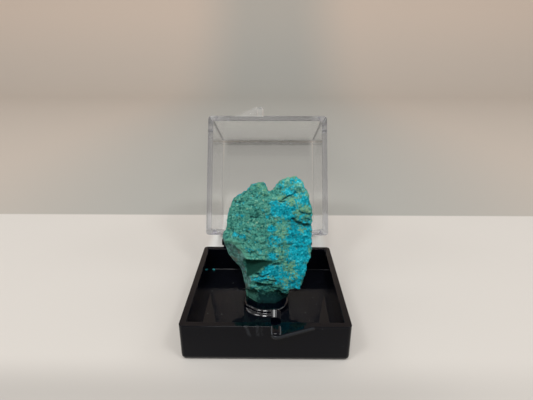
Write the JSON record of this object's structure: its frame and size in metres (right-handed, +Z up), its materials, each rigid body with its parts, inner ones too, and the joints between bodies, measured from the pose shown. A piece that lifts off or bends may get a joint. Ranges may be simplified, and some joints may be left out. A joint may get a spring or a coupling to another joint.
{
  "type": "chrysocolla specimen",
  "caption": "Rough blue-green chrysocolla stone standing on a small black pedestal in a hinged display box with a black tray and a clear lid.",
  "frame": {"origin": "middle of the tray's flat underside, at table level", "axes": "+Z up, -Y towards the opening tabs at the front, +X to the right seen from the front"},
  "size_m": [0.0318, 0.0712, 0.041],
  "materials": {
    "black_plastic": "high gloss, moulded, with fine handling scratches",
    "clear_plastic": "clear and polished",
    "chrysocolla": "matte, granular, blue-green with olive specks"
  },
  "bodies": {
    "base": {"base_tray": "black_plastic", "pedestal": "black_plastic", "specimen": "chrysocolla"},
    "lid": {"lid": "clear_plastic"}
  },
  "joints": [
    {"name": "lid_hinge", "type": "hinge", "parent": "base", "child": "lid", "pos_m": [0, 0.01755, 0.00835], "axis": [1, 0, 0], "range_deg": [0, 115.5]}
  ]
}
